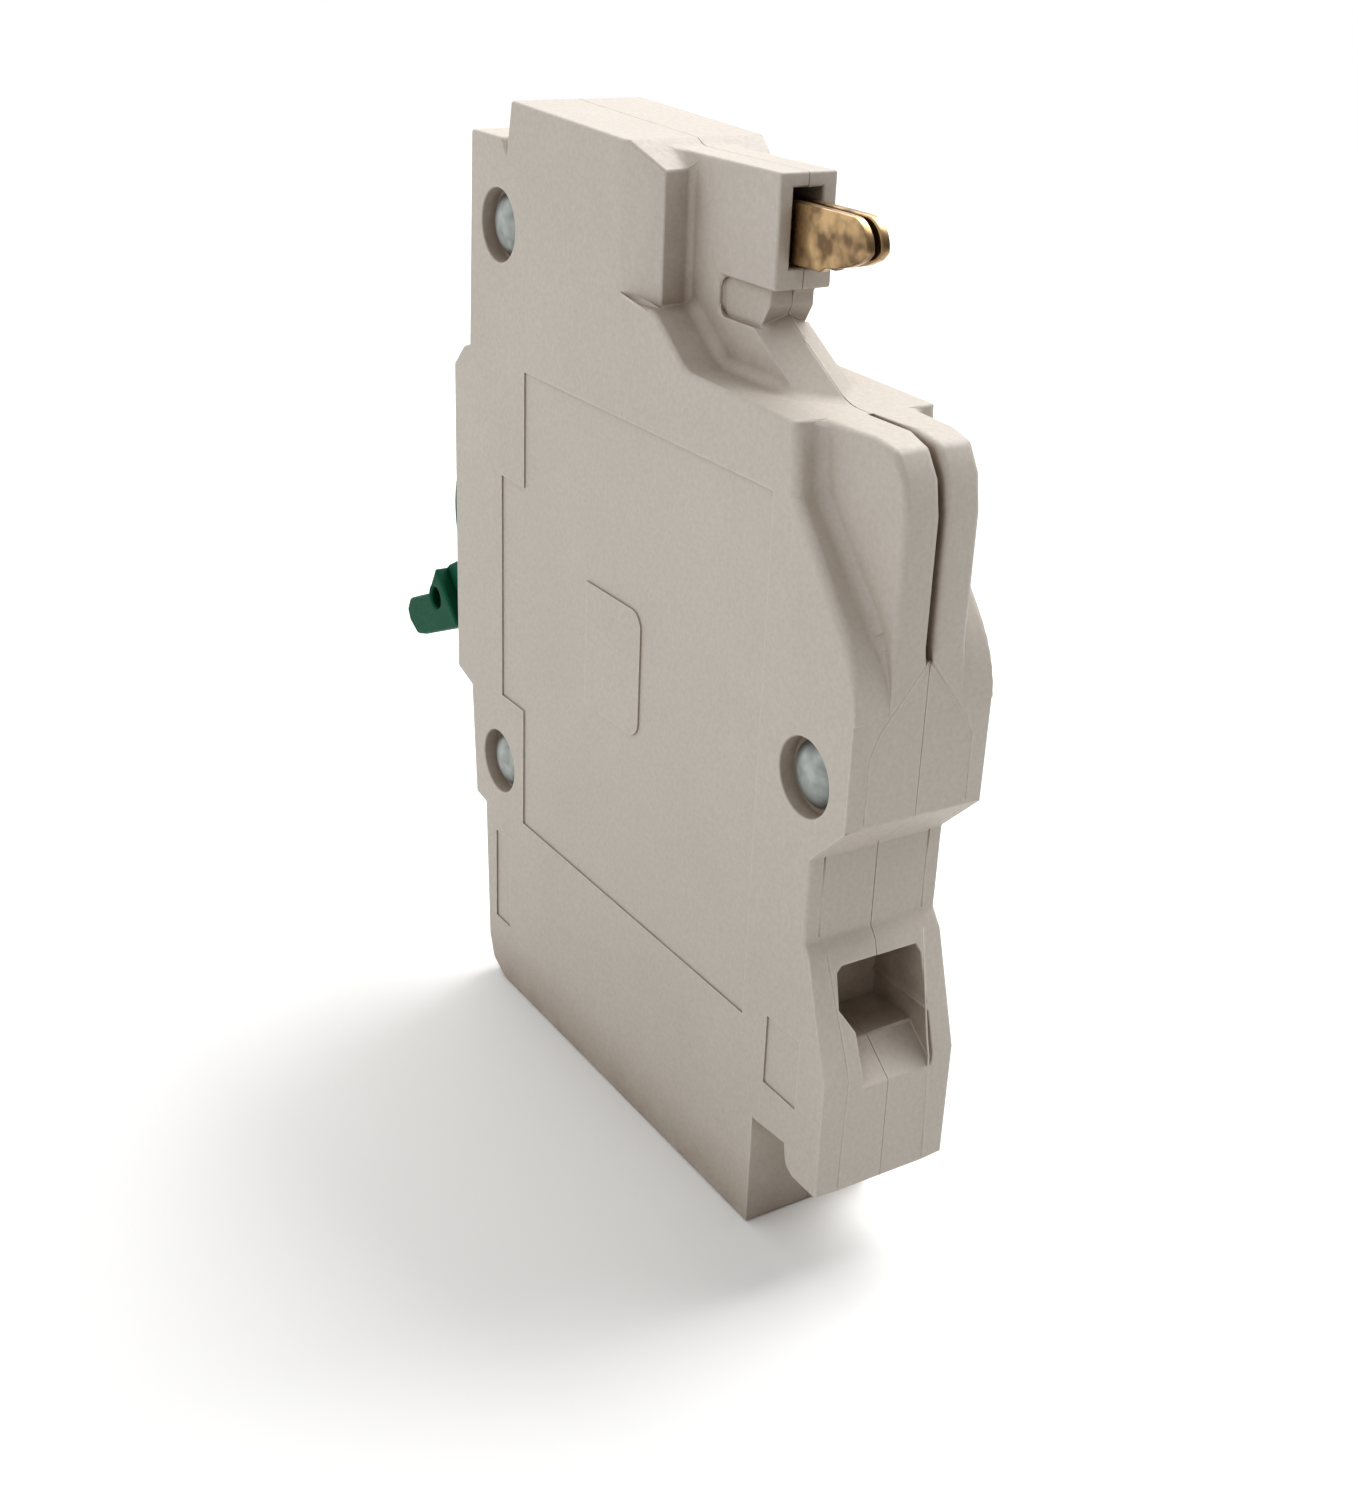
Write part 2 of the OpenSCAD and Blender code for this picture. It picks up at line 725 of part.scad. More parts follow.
module load_strap() {
    color([0.80, 0.50, 0.32])
        difference() {
            union() {
                block([pad_plate_x, -pad_y, 4], [pad_plate_x + strap_t, pad_y, strap_z + strap_t]);
                block([pad_plate_x, -pad_y, strap_z], [bimetal_x + bimetal_t + strap_t, pad_y, strap_z + strap_t]);
                block([bimetal_x + bimetal_t, -3, strap_z], [bimetal_x + bimetal_t + strap_t, 3, 24]);
            }
            // slot for the bimetal's foot
            block([bimetal_x, -bimetal_y, strap_z + 0.7], [bimetal_x + bimetal_t, bimetal_y, 30]);
            // tapped holes of the terminal screw and the calibration screw
            translate([pad_plate_x - 1, 0, screw_z])
                rotate([0, 90, 0])
                    cylinder(r = screw_r + run_gap, h = 4);
            translate([bimetal_x + bimetal_t, 0, 21.5])
                rotate([0, 90, 0])
                    cylinder(r = 1.05, h = 4);
        }
}

module calibration_screw() {
    x = bimetal_x + bimetal_t;
    color([0.75, 0.76, 0.78])
        translate([x, 0, 21.5])
            rotate([0, 90, 0]) {
                cylinder(r = 1.0, h = 3);
                difference() {
                    translate([0, 0, 3])
                        cylinder(r = 2.0, h = 1.2);
                    translate([-0.25, -3, 3.7])
                        cube([0.5, 6, 1]);
                }
            }
}

module terminal_screw() {
    color([0.75, 0.76, 0.78])
        translate([plate_x, 0, screw_z])
            rotate([0, 90, 0]) {
                translate([0, 0, -head_h])
                    difference() {
                        cylinder(r = screw_head_r, h = head_h);
                        translate([-0.4, -5, -weld])
                            cube([0.8, 10, 1]);
                    }
                cylinder(r = screw_r, h = wire_gap + strap_t + 2.6);
            }
}

module clamp_plate() {
    color([0.72, 0.73, 0.72])
        difference() {
            block([plate_x, -pad_y + 0.1, 6.4], [plate_x + strap_t, pad_y - 0.1, 15.4]);
            translate([plate_x - 1, 0, screw_z])
                rotate([0, 90, 0])
                    cylinder(r = screw_r + run_gap, h = 4);
        }
}

case_left();
case_right();
case_rivets();
handle();
handle_pin();
contact_arm();
arm_pin();
moving_contact();
fixed_contact();
line_stab();
line_strap();
arc_plates();
arc_liners();
cradle();
cradle_pin();
toggle_spring();
bimetal();
magnet_yoke();
armature();
armature_pin();
armature_spring();
braid();
load_strap();
calibration_screw();
terminal_screw();
clamp_plate();
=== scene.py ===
"""Half-inch plug-on circuit breaker: its looks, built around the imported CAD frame."""
import json
import math

import bmesh
import bpy
from mathutils import Matrix, Vector
from mathutils.bvhtree import BVHTree


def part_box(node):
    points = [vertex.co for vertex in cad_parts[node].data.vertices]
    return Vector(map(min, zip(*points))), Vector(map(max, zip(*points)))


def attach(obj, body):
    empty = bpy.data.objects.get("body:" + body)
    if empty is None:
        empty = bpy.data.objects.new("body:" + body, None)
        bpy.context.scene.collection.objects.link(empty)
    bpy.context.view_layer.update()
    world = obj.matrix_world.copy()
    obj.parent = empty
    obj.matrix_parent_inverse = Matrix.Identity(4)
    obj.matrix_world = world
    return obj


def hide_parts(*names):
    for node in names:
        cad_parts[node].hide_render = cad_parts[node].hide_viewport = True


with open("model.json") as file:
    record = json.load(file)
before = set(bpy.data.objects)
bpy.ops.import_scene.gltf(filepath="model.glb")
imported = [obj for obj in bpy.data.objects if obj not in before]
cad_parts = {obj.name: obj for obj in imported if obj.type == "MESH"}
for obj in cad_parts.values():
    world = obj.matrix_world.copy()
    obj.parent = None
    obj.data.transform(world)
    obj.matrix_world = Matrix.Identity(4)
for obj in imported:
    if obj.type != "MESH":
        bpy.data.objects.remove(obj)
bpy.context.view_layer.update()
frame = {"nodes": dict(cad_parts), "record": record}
nodes = frame["nodes"]

# Lengths in the script are in millimetres and are multiplied by MM where Blender takes them.
MM = 0.001
HALF_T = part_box("case_left")[0][1] / -MM
BACK_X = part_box("case_left")[1][0] / MM
FRONT_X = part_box("case_left")[0][0] / MM
TOP_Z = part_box("case_left")[1][2] / MM

LEG_TOP_Z = 28.7
BLOCK_LOW_Z = 40.6
FIN_SPLIT_Z = 52.7
SHOULDER_Z = TOP_Z - 16.5
PANEL_DEPTH = 0.15

# The arc beside the fin: where it starts, its radius, the turn of one facet and its height.
ARC_Z = 48.9
ARC_R = 10
ARC_STEP = math.radians(6.4)
ARC_RISE = 6.2
FIN_X = BACK_X - 10   # front end of the fin
NECK_X = BACK_X - 36  # front end of the sunk face beside the neck

# Radii of the case's roundings.
OUTER_ROUND = 0.28
INNER_ROUND = 0.2
SEAM_ROUND = 0.09
COUNTERBORE_ROUND = 0.16
SHOULDER_ROUND = 0.4
NECK_ROUND = 0.22
NECK_FILLET = 0.9
FIN_ROUND = 0.55
FIN_FILLET = 0.9
WINDOW_ROUND = 0.15
ARC_FIRST_ROUND = 0.063
ARC_ROUND_STEP = 0.12
ARC_LAST_ROUND = 0.73
LEAST_FOLD = 25       # degrees; flatter folds stay as they are

RIVETS = [(FRONT_X + 9.0, TOP_Z - 10.4), (FRONT_X + 8.9, 23.8), (BACK_X - 5.5, 42.8)]
RIVET_SHANK_R = 1.5
# Radius and height of each ring of a rivet's head, from the shank outward.
RIVET_DOME = [(2.6, 0.05), (2.6, 0.28), (2.52, 0.4), (2.3, 0.58), (1.95, 0.78), (1.5, 0.95), (1.0, 1.08),
              (0.5, 1.13), (0.22, 1.1)]
COUNTERBORE_R = 3.4
COUNTERBORE_DEPTH = 1.5

HUB = Vector((FRONT_X + 2.7, 0, 44.6))
HUB_R = 9.9
LEVER_DROP = math.radians(36)
HANDLE_Y = 3.0
LEVER_SINK = 1.3

# Studio: places and sizes in metres, light powers in watts.
FLOOR_SIZE = 1.7
FLOOR_FADE = (0.35, 0.8)  # the floor is solid inside the first radius and gone at the second
SKY_BRIGHT_SIDE = (-0.75, -0.55, 0.35)
SKY_STRENGTH = (0.12, 1.05)
LIGHT_TARGET = (0, 0, 0.04)


# ---------- camera, floor and light ----------

def add_camera():
    """The camera, behind and above the part's left side."""
    azimuth = math.radians(57.2)
    elevation = math.radians(24.735)
    roll = math.radians(2.314)
    position = Vector((126.18, -81.59, 102.18)) * MM
    back = Vector((
        math.sin(azimuth) * math.cos(elevation),
        -math.cos(azimuth) * math.cos(elevation),
        math.sin(elevation),
    ))
    right = (-back).cross(Vector((0, 0, 1))).normalized()
    up = right.cross(-back)
    right_rolled = right * math.cos(roll) + up * math.sin(roll)
    up_rolled = up * math.cos(roll) - right * math.sin(roll)
    data = bpy.data.cameras.new("camera")
    data.lens = 45.61
    data.sensor_width = 36
    data.clip_start = 0.01
    camera = bpy.data.objects.new("camera", data)
    rotation = Matrix((right_rolled, up_rolled, back)).transposed().to_4x4()
    camera.matrix_world = Matrix.Translation(position) @ rotation
    bpy.context.scene.collection.objects.link(camera)
    bpy.context.scene.camera = camera


def add_area_light(name, position, target, size, power):
    """A square white light at `position` that looks at `target`."""
    data = bpy.data.lights.new(name, "AREA")
    data.size = size
    data.energy = power
    light = bpy.data.objects.new(name, data)
    direction = Vector(target) - Vector(position)
    turn = direction.to_track_quat("-Z", "Y").to_matrix().to_4x4()
    light.matrix_world = Matrix.Translation(position) @ turn
    bpy.context.scene.collection.objects.link(light)


def add_floor():
    """A white floor that throws back less light than it shows, and fades out into the sky."""
    bpy.ops.object.select_all(action="DESELECT")
    bpy.ops.mesh.primitive_plane_add(size=FLOOR_SIZE, location=(0, 0, 0))
    floor = bpy.context.object
    floor.name = "floor"
    material, tree, shader = new_material("floor_white")
    path = add_node(tree, "ShaderNodeLightPath")
    tone = mix_colour(tree, path.outputs["Is Camera Ray"], (0.68, 0.68, 0.67), (0.9, 0.9, 0.89))
    feed(tree, tone, shader.inputs["Base Color"])
    place = add_node(tree, "ShaderNodeTexCoord")
    reach = add_node(tree, "ShaderNodeVectorMath", operation="LENGTH")
    feed(tree, place.outputs["Object"], reach.inputs[0])
    feed(tree, map_range(tree, reach.outputs["Value"], *FLOOR_FADE, 1.0, 0.0), shader.inputs["Alpha"])
    shader.inputs["Roughness"].default_value = 0.7
    floor.data.materials.append(material)


def add_studio():
    """A sky that is white to the camera and brighter on the handle's side, and two soft lights."""
    bpy.context.scene.view_settings.view_transform = "Standard"
    world = bpy.data.worlds.new("studio")
    bpy.context.scene.world = world
    world.use_nodes = True
    tree = world.node_tree
    sky = tree.nodes["Background"]
    place = add_node(tree, "ShaderNodeTexCoord")
    towards = add_node(tree, "ShaderNodeVectorMath", operation="DOT_PRODUCT")
    feed(tree, place.outputs["Generated"], towards.inputs[0])
    towards.inputs[1].default_value = SKY_BRIGHT_SIDE
    soft = map_range(tree, towards.outputs["Value"], -0.9, 0.9, *SKY_STRENGTH)
    path = add_node(tree, "ShaderNodeLightPath")
    seen = math_node(tree, "MAXIMUM", soft, path.outputs["Is Camera Ray"])
    feed(tree, seen, sky.inputs["Strength"])
    sky.inputs["Color"].default_value = (1, 1, 1, 1)
    add_area_light("key", (-0.15, 0.8, 1.05), LIGHT_TARGET, 0.95, 19)
    add_area_light("rear", (-0.7, 0.3, 0.8), LIGHT_TARGET, 0.8, 3)


# ---------- shader node helpers ----------

def add_node(tree, kind, **settings):
    """A new node of this kind, with its settings."""
    node = tree.nodes.new(kind)
    for name, value in settings.items():
        setattr(node, name, value)
    return node


def feed(tree, source, target):
    """Links an output socket to an input socket."""
    tree.links.new(source, target)


def new_group(name, inputs, outputs):
    """A shader node group with float inputs, and outputs given as name and socket type."""
    tree = bpy.data.node_groups.new(name, "ShaderNodeTree")
    for socket_name, value in inputs:
        socket = tree.interface.new_socket(socket_name, in_out="INPUT", socket_type="NodeSocketFloat")
        socket.default_value = value
    for socket_name, kind in outputs:
        tree.interface.new_socket(socket_name, in_out="OUTPUT", socket_type=kind)
    return tree, add_node(tree, "NodeGroupInput"), add_node(tree, "NodeGroupOutput")


def math_node(tree, operation, first, second=None, clamp=False):
    """A Math node whose inputs are sockets or numbers, giving back its output."""
    node = add_node(tree, "ShaderNodeMath", operation=operation, use_clamp=clamp)
    for index, value in enumerate((first, second)):
        if value is None:
            continue
        if isinstance(value, (int, float)):
            node.inputs[index].default_value = value
        else:
            feed(tree, value, node.inputs[index])
    return node.outputs[0]


def noise(tree, scale, detail=2.0, rough=0.5):
    """A Noise node on Object coordinates; scale is a number or a socket."""
    place = add_node(tree, "ShaderNodeTexCoord")
    node = add_node(tree, "ShaderNodeTexNoise")
    feed(tree, place.outputs["Object"], node.inputs["Vector"])
    if isinstance(scale, (int, float)):
        node.inputs["Scale"].default_value = scale
    else:
        feed(tree, scale, node.inputs["Scale"])
    node.inputs["Detail"].default_value = detail
    node.inputs["Roughness"].default_value = rough
    return node.outputs["Fac"]


def map_range(tree, value, low, high, to_low=0.0, to_high=1.0):
    """The value moved from the range low to high onto the range to_low to to_high."""
    node = add_node(tree, "ShaderNodeMapRange")
    feed(tree, value, node.inputs["Value"])
    node.inputs["From Min"].default_value = low
    node.inputs["From Max"].default_value = high
    node.inputs["To Min"].default_value = to_low
    node.inputs["To Max"].default_value = to_high
    return node.outputs["Result"]


def mix_colour(tree, share, first, second, blend="MIX"):
    """A colour Mix node; the colours are sockets or plain triples."""
    node = add_node(tree, "ShaderNodeMix", data_type="RGBA", blend_type=blend)
    if isinstance(share, (int, float)):
        node.inputs["Factor"].default_value = share
    else:
        feed(tree, share, node.inputs["Factor"])
    for index, value in ((6, first), (7, second)):
        if isinstance(value, tuple):
            node.inputs[index].default_value = (*value, 1)
        else:
            feed(tree, value, node.inputs[index])
    return node.outputs[2]


# ---------- effects that several finishes share ----------

def make_grain_group():
    """Fine speckle and a slow cloud of tone, with the height of a moulded or rolled skin."""
    tree, inlet, outlet = new_group(
        "surface_grain",
        [("Grain Scale", 3000.0), ("Cloud Scale", 90.0)],
        [("Speckle", "NodeSocketFloat"), ("Cloud", "NodeSocketFloat"), ("Height", "NodeSocketFloat")],
    )
    fine = noise(tree, inlet.outputs["Grain Scale"], 3.0, 0.7)
    cloud = noise(tree, inlet.outputs["Cloud Scale"], 2.0)
    finer = noise(tree, math_node(tree, "MULTIPLY", inlet.outputs["Grain Scale"], 0.55), 5.0, 0.6)
    feed(tree, map_range(tree, fine, 0.35, 0.65), outlet.inputs["Speckle"])
    feed(tree, map_range(tree, cloud, 0.35, 0.65), outlet.inputs["Cloud"])
    feed(tree, finer, outlet.inputs["Height"])
    return tree


def make_edge_group():
    """How far a point lies on an outer edge, where wear and a painted highlight lighten the colour,
    broken up by noise.
    """
    tree, inlet, outlet = new_group(
        "edge_wear_and_highlight",
        [("Width", 0.0004), ("Breakup Scale", 900.0)],
        [("Worn And Highlit", "NodeSocketFloat")],
    )
    rounded = add_node(tree, "ShaderNodeBevel", samples=6)
    feed(tree, inlet.outputs["Width"], rounded.inputs["Radius"])
    surface = add_node(tree, "ShaderNodeNewGeometry")
    dot = add_node(tree, "ShaderNodeVectorMath", operation="DOT_PRODUCT")
    feed(tree, rounded.outputs["Normal"], dot.inputs[0])
    feed(tree, surface.outputs["Normal"], dot.inputs[1])
    turned = map_range(tree, dot.outputs["Value"], 0.995, 0.86)
    hollow = add_node(tree, "ShaderNodeAmbientOcclusion", samples=6)
    hollow.inputs["Distance"].default_value = 0.0015
    outer = map_range(tree, hollow.outputs["AO"], 0.62, 0.85)
    broken = map_range(tree, noise(tree, inlet.outputs["Breakup Scale"], 3.0), 0.3, 0.6, 0.35, 1.0)
    worn_and_highlit = math_node(tree, "MULTIPLY", math_node(tree, "MULTIPLY", turned, outer), broken, True)
    feed(tree, worn_and_highlit, outlet.inputs["Worn And Highlit"])
    return tree


def make_painted_shade_group():
    """How deep a point sits in a corner or pocket, where painted shade darkens the colour."""
    tree, inlet, outlet = new_group(
        "painted_hollow_shade",
        [("Reach", 0.004), ("Patch Scale", 400.0)],
        [("Painted Shade", "NodeSocketFloat")],
    )
    seen = add_node(tree, "ShaderNodeAmbientOcclusion", samples=8)
    feed(tree, inlet.outputs["Reach"], seen.inputs["Distance"])
    painted_shade_mask = map_range(tree, seen.outputs["AO"], 0.9, 0.4)
    patchy = map_range(tree, noise(tree, inlet.outputs["Patch Scale"], 3.0), 0.3, 0.7, 0.7, 1.0)
    feed(tree, math_node(tree, "MULTIPLY", painted_shade_mask, patchy, True), outlet.inputs["Painted Shade"])
    return tree


def use_group(tree, group, **values):
    """The outputs of a group node; each value goes to the input of its name."""
    node = add_node(tree, "ShaderNodeGroup", node_tree=group)
    for name, value in values.items():
        node.inputs[name.replace("_", " ")].default_value = value
    return node.outputs


def new_material(name):
    """A node material, given with its tree and its shader."""
    material = bpy.data.materials.new(name)
    material.use_nodes = True
    tree = material.node_tree
    return material, tree, tree.nodes["Principled BSDF"]


def bump(tree, shader, height, strength, distance):
    """Gives the shader a bump from this height, with the distance in millimetres."""
    node = add_node(tree, "ShaderNodeBump")
    node.inputs["Strength"].default_value = strength
    node.inputs["Distance"].default_value = distance * MM
    feed(tree, height, node.inputs["Height"])
    feed(tree, node.outputs["Normal"], shader.inputs["Normal"])


def make_moulding(name, body, speck, edge, shade, rough, cloud_share=0.35, grain=2600.0, edge_share=0.5,
                  gloss=0.3, shade_share=0.9):
    """A moulded plastic: speckle, slow tone change, paler edges that are partly wear and partly painted
    highlight, and painted shade in hollows.
    """
    material, tree, shader = new_material(name)
    grain_out = use_group(tree, groups["grain"], Grain_Scale=grain, Cloud_Scale=75.0)
    edge_out = use_group(tree, groups["edge"], Width=0.00035)
    painted_shade_out = use_group(tree, groups["hollow"], Reach=0.009)
    flecked = mix_colour(tree, map_range(tree, grain_out["Speckle"], 0.0, 1.0, 0.0, 0.6), body, speck)
    clouded = mix_colour(
        tree, math_node(tree, "MULTIPLY", grain_out["Cloud"], cloud_share), flecked, shade, "MULTIPLY"
    )
    # paler edges: partly wear, partly a painted highlight
    worn_and_highlit = mix_colour(tree, math_node(tree, "MULTIPLY", edge_out["Worn And Highlit"], edge_share), clouded, edge)
    # painted shade: hollows and corners darkened towards the shade colour
    painted_shade_mask = math_node(tree, "MULTIPLY", painted_shade_out["Painted Shade"], shade_share)
    with_painted_shade = mix_colour(tree, painted_shade_mask, worn_and_highlit, shade, "MULTIPLY")
    feed(tree, with_painted_shade, shader.inputs["Base Color"])
    shader.inputs["Specular IOR Level"].default_value = gloss
    feed(tree, map_range(tree, grain_out["Speckle"], 0.0, 1.0, rough - 0.06, rough + 0.08),
         shader.inputs["Roughness"])
    bump(tree, shader, grain_out["Height"], 0.35, 0.05)
    return material


def make_metal(name, bright, dull, rough, patch_scale=420.0, dull_share=0.7, lines=None, skin=0.25):
    """A metal with duller patches, fine grain, edges lightened by wear and a painted highlight, and
    painted shade in hollows.
    """
    material, tree, shader = new_material(name)
    grain_out = use_group(tree, groups["grain"], Grain_Scale=1800.0, Cloud_Scale=patch_scale)
    edge_out = use_group(tree, groups["edge"], Width=0.00025)
    painted_shade_out = use_group(tree, groups["hollow"], Reach=0.002)
    patches = mix_colour(tree, math_node(tree, "MULTIPLY", grain_out["Cloud"], dull_share), bright, dull)
    # bright edges: partly wear, partly a painted highlight
    worn_and_highlit = mix_colour(tree, math_node(tree, "MULTIPLY", edge_out["Worn And Highlit"], 0.6), patches, bright)
    # painted shade: hollows darkened towards the dull colour
    with_painted_shade = mix_colour(tree, math_node(tree, "MULTIPLY", painted_shade_out["Painted Shade"], 0.6), worn_and_highlit, dull, "MULTIPLY")
    feed(tree, with_painted_shade, shader.inputs["Base Color"])
    shader.inputs["Metallic"].default_value = 1.0
    feed(tree, map_range(tree, grain_out["Cloud"], 0.0, 1.0, rough - 0.08, rough + 0.14),
         shader.inputs["Roughness"])
    height = grain_out["Height"]
    if lines:
        wave = add_node(tree, "ShaderNodeTexWave", bands_direction=lines)
        place = add_node(tree, "ShaderNodeTexCoord")
        feed(tree, place.outputs["Object"], wave.inputs["Vector"])
        wave.inputs["Scale"].default_value = 700.0
        wave.inputs["Distortion"].default_value = 3.0
        height = math_node(tree, "ADD", height, math_node(tree, "MULTIPLY", wave.outputs["Fac"], 0.4))
    bump(tree, shader, height, skin, 0.03)
    return material


groups = {"grain": make_grain_group(), "edge": make_edge_group(), "hollow": make_painted_shade_group()}
# For each moulding the third colour is the edge colour, partly wear and partly painted highlight, and the
# fourth is the painted shade of its hollows, which also darkens the slow tone clouds
FINISHES = {
    "case_plastic": make_moulding(
        "case_plastic", (0.565, 0.515, 0.455), (0.49, 0.44, 0.385), (0.74, 0.69, 0.61),
        (0.46, 0.36, 0.29), 0.5, cloud_share=0.06),
    "toggle_green": make_moulding(
        "toggle_green", (0.008, 0.115, 0.062), (0.006, 0.09, 0.048), (0.04, 0.25, 0.15),
        (0.08, 0.2, 0.09), 0.5, grain=3400.0, edge_share=0.5, gloss=0.06),
    "rivet_zinc": make_metal(
        "rivet_zinc", (0.42, 0.445, 0.43), (0.26, 0.28, 0.265), 0.45, patch_scale=700.0),
    "stab_brass": make_metal(
        "stab_brass", (0.60, 0.40, 0.20), (0.17, 0.105, 0.055), 0.32, patch_scale=620.0, dull_share=0.95,
        skin=0.12),
    "copper": make_metal("copper", (0.80, 0.42, 0.24), (0.42, 0.20, 0.12), 0.35, lines="X"),
    "contact_silver": make_metal("contact_silver", (0.83, 0.83, 0.82), (0.52, 0.51, 0.49), 0.3),
    "spring_steel": make_metal("spring_steel", (0.62, 0.63, 0.65), (0.38, 0.38, 0.39), 0.28),
    "mild_steel": make_metal("mild_steel", (0.44, 0.45, 0.46), (0.25, 0.25, 0.26), 0.45, lines="Z"),
    "bimetal_strip": make_metal("bimetal_strip", (0.62, 0.57, 0.49), (0.40, 0.36, 0.31), 0.35, lines="Y"),
    "red_fibre": make_moulding(
        "red_fibre", (0.34, 0.085, 0.045), (0.26, 0.06, 0.03), (0.45, 0.16, 0.09),
        (0.6, 0.5, 0.45), 0.7, grain=1500.0),
}


# ---------- modelling helpers ----------

def only(piece):
    """Selects this piece alone and makes it active."""
    bpy.ops.object.select_all(action="DESELECT")
    piece.select_set(True)
    bpy.context.view_layer.objects.active = piece


def apply_modifier(piece, modifier):
    """Applies one modifier of the piece."""
    only(piece)
    bpy.ops.object.modifier_apply(modifier=modifier.name)


def flat_copy(node_name, name):
    """A copy of a CAD node as one closed skin, with each flat face in as few pieces as it can be."""
    mesh = nodes[node_name].data.copy()
    mesh.name = name
    mesh.materials.clear()
    piece = bpy.data.objects.new(name, mesh)
    bpy.context.scene.collection.objects.link(piece)
    only(piece)
    bpy.ops.mesh.customdata_custom_splitnormals_clear()
    bpy.ops.object.mode_set(mode="EDIT")
    bpy.ops.mesh.select_all(action="SELECT")
    bpy.ops.mesh.remove_doubles(threshold=0.002 * MM)
    bpy.ops.mesh.dissolve_limited(angle_limit=math.radians(0.4))
    bpy.ops.object.mode_set(mode="OBJECT")
    return piece


def smooth_by_area(piece):
    """Smooth shading in which the large flat faces stay flat."""
    only(piece)
    bpy.ops.object.mode_set(mode="EDIT")
    bpy.ops.mesh.select_all(action="SELECT")
    bpy.ops.mesh.quads_convert_to_tris(quad_method="BEAUTY", ngon_method="BEAUTY")
    bpy.ops.object.mode_set(mode="OBJECT")
    bpy.ops.object.shade_smooth_by_angle(angle=math.radians(34))
    weighting = piece.modifiers.new("flat faces", "WEIGHTED_NORMAL")
    weighting.mode = "FACE_AREA_WITH_ANGLE"
    weighting.weight = 80
    weighting.keep_sharp = True
    apply_modifier(piece, weighting)


def crossing_room(edge, vert):
    """Length of the shortest fold that leaves vert across this edge, in millimetres."""
    along = (edge.other_vert(vert).co - vert.co).normalized()
    room = 100.0
    for other in vert.link_edges:
        if other is edge or other.calc_face_angle(0) < math.radians(8):
            continue
        across = (other.other_vert(vert).co - vert.co) / MM
        reach = (across - along * across.dot(along)).length
        if abs(along.dot(across.normalized())) < 0.9:
            room = min(room, reach)
    return room


def round_edges(piece, radius_at, segments=3):
    """Rounds each fold by the radius that radius_at gives for its place and facing."""
    skin = bmesh.new()
    skin.from_mesh(piece.data)
    weight = skin.edges.layers.float.new("bevel_weight_edge")
    for edge in skin.edges:
        if len(edge.link_faces) != 2:
            continue
        fold = math.degrees(edge.calc_face_angle_signed(0))
        if abs(fold) < LEAST_FOLD:
            continue
        ends = [vert.co / MM for vert in edge.verts]
        facing = (edge.link_faces[0].normal + edge.link_faces[1].normal).normalized()
        radius = radius_at(ends, facing, fold)
        room = min(crossing_room(edge, vert) for vert in edge.verts)
        edge[weight] = min(radius, 0.42 * room)
    skin.to_mesh(piece.data)
    skin.free()
    bevel = piece.modifiers.new("rounding", "BEVEL")
    bevel.limit_method = "WEIGHT"
    bevel.width = 1.0 * MM
    bevel.segments = segments
    bevel.use_clamp_overlap = False
    bevel.loop_slide = False
    apply_modifier(piece, bevel)


def give(piece, body, slot, *stands_for):
    """Puts a finished piece on its CAD body, in its slot's finish, in place of its CAD nodes."""
    piece.data.materials.clear()
    piece.data.materials.append(FINISHES[slot])
    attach(piece, body)
    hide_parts(*stands_for)


# ---------- case halves ----------

def case_tree():
    """The two case halves as one ray target, in millimetres."""
    places = []
    faces = []
    for name in ("case_left", "case_right"):
        mesh = nodes[name].data
        start = len(places)
        places += [vert.co / MM for vert in mesh.vertices]
        faces += [[start + index for index in face.vertices] for face in mesh.polygons]
    return BVHTree.FromPolygons(places, faces)


def sees_out(tree, place, facing, tries=24):
    """Share of the directions about `facing` in which a point sees past the case."""
    clear = 0
    start = place + facing * 0.1
    for index in range(tries):
        height = 1 - 2 * (index + 0.5) / tries
        turn = index * math.pi * (3 - math.sqrt(5))
        flat = math.sqrt(1 - height * height)
        way = Vector((flat * math.cos(turn), flat * math.sin(turn), height))
        if way.dot(facing) < 0:
            way = -way
        if tree.ray_cast(start, way, 120)[0] is None:
            clear += 1
    return clear / tries


def inside_outline(x, z):
    """True for the edges of the sunk panels, which lie within the broad face."""
    if FRONT_X + 7.6 < x < BACK_X - 9 and 5 < z < 64:
        return True
    return BACK_X - 8.4 < x < BACK_X - 3.3 and 14.5 < z < 21.3


def refill_level(piece, level):
    """Lays a clean flat face across everything that lies at this level of Y."""
    only(piece)
    bpy.ops.object.mode_set(mode="EDIT")
    bpy.ops.mesh.select_mode(type="FACE")
    bpy.ops.mesh.select_all(action="DESELECT")
    skin = bmesh.from_edit_mesh(piece.data)
    for face in skin.faces:
        centre = face.calc_center_median()
        if abs(centre.y / MM - level) < 0.002 and abs(face.normal.y) > 0.99:
            face.select_set(True)
    bmesh.update_edit_mesh(piece.data)
    bpy.ops.mesh.delete(type="FACE")
    bpy.ops.mesh.select_mode(type="EDGE")
    bpy.ops.mesh.select_non_manifold(
        extend=False, use_wire=False, use_boundary=True, use_multi_face=False,
        use_non_contiguous=False, use_verts=False)
    bpy.ops.mesh.fill(use_beauty=True)
    bpy.ops.mesh.select_mode(type="FACE")
    bpy.ops.mesh.select_all(action="SELECT")
    bpy.ops.mesh.normals_make_consistent(inside=False)
    bpy.ops.object.mode_set(mode="OBJECT")


def fin_gap(z):
    """How far the rounded edge beside the fin stands in from the back face at this level."""
    rise = min(max(z - ARC_Z, 0), ARC_RISE)
    return ARC_R - math.sqrt(ARC_R * ARC_R - rise * rise)


